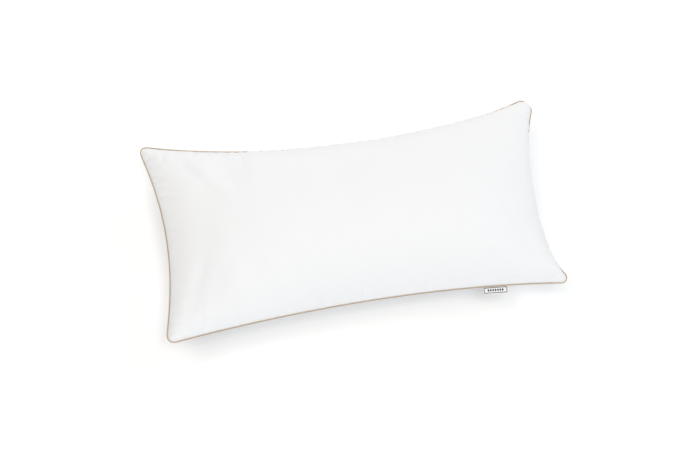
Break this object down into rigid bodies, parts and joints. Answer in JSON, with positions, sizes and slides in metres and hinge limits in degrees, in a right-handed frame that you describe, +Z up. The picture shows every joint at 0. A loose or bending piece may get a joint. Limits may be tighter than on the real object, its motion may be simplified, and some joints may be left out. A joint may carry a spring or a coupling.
{
  "type": "bed pillow",
  "caption": "Filled long bed pillow with a crowned middle, drawn-in sides, thin soft corners, a corded seam all round and a small woven tab.",
  "frame": {"origin": "on the floor under the middle of the pillow's box", "axes": "+X along the long side towards the end that the tab is near, +Y across the pillow away from the tab, +Z up through the crown"},
  "size_m": [0.781, 0.3752, 0.1633],
  "materials": {
    "case_cloth": "fine plain-woven white cotton, matt",
    "piping_cord": "golden tan covered cord with a soft satin sheen",
    "tab_tape": "white woven tape with a thin dark border line"
  },
  "bodies": {
    "root": {"pillow_body": "case_cloth", "piping": "piping_cord", "side_label": "tab_tape"}
  },
  "joints": []
}
